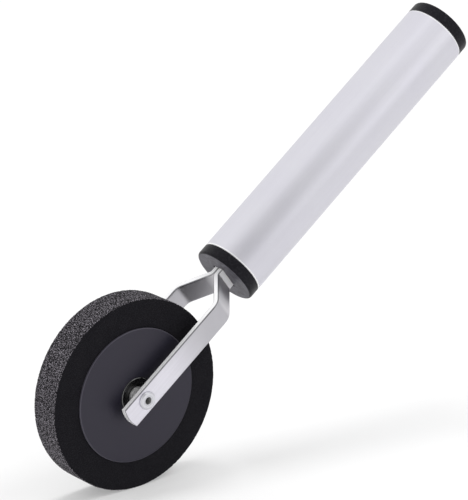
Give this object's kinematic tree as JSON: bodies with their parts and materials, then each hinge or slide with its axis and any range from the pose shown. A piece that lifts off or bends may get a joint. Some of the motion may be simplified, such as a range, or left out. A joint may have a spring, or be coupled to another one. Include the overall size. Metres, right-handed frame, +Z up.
{
  "type": "seam roller",
  "caption": "Hand roller: a foam-tyred wheel on ball bearings in a two-strip aluminium fork with a tubular handle, for pressing seams and sheet down.",
  "frame": {"origin": "centre of the wheel, on the axle", "axes": "+Y along the axle to the user's right, +Z up with the wheel standing on the work, handle rising towards +X at its working lean of 36.4 degrees"},
  "size_m": [0.2709, 0.0384, 0.2191],
  "materials": {
    "sponge_rubber": "open-cell sponge rubber, dull and speckled",
    "core_plastic": "turned dark slate plastic, smooth matte",
    "plug_plastic": "moulded black plastic, fine satin",
    "anodised_tube": "clear satin anodised",
    "strip_aluminium": "satin anodised flat bar with rounded edges",
    "turned_aluminium": "turned, bright",
    "rivet_metal": "rolled, dull bright",
    "bearing_steel": "ground and polished steel",
    "cage_steel": "pressed steel sheet",
    "pin_steel": "plain steel pin"
  },
  "bodies": {
    "handle": {"lower_plug": "plug_plastic", "handle_tube": "anodised_tube", "upper_plug": "plug_plastic", "fork_pins": "pin_steel", "left_fork_arm": "strip_aluminium", "right_fork_arm": "strip_aluminium", "axle_rivet": "rivet_metal", "left_axle_spacer": "turned_aluminium", "right_axle_spacer": "turned_aluminium", "bearing_spacer": "turned_aluminium", "left_inner_race": "bearing_steel", "right_inner_race": "bearing_steel"},
    "wheel": {"foam_tyre": "sponge_rubber", "wheel_core": "core_plastic", "left_outer_race": "bearing_steel", "right_outer_race": "bearing_steel", "left_outer_shield": "cage_steel", "left_inner_shield": "cage_steel", "right_outer_shield": "cage_steel", "right_inner_shield": "cage_steel"},
    "left_cage": {"left_ball_cage": "cage_steel", "left_balls": "bearing_steel"},
    "right_cage": {"right_ball_cage": "cage_steel", "right_balls": "bearing_steel"}
  },
  "joints": [
    {"name": "wheel_spin", "type": "hinge", "parent": "handle", "child": "wheel", "pos_m": [0, 0, 0], "axis": [0, 1, 0], "continuous": true},
    {"name": "left_cage_spin", "type": "hinge", "parent": "handle", "child": "left_cage", "pos_m": [0, -0.007, 0], "axis": [0, 1, 0], "continuous": true},
    {"name": "right_cage_spin", "type": "hinge", "parent": "handle", "child": "right_cage", "pos_m": [0, 0.007, 0], "axis": [0, 1, 0], "continuous": true}
  ],
  "couplings": [
    {"joint": "left_cage_spin", "follows": "wheel_spin", "ratio": 0.6376},
    {"joint": "right_cage_spin", "follows": "wheel_spin", "ratio": 0.6376}
  ]
}
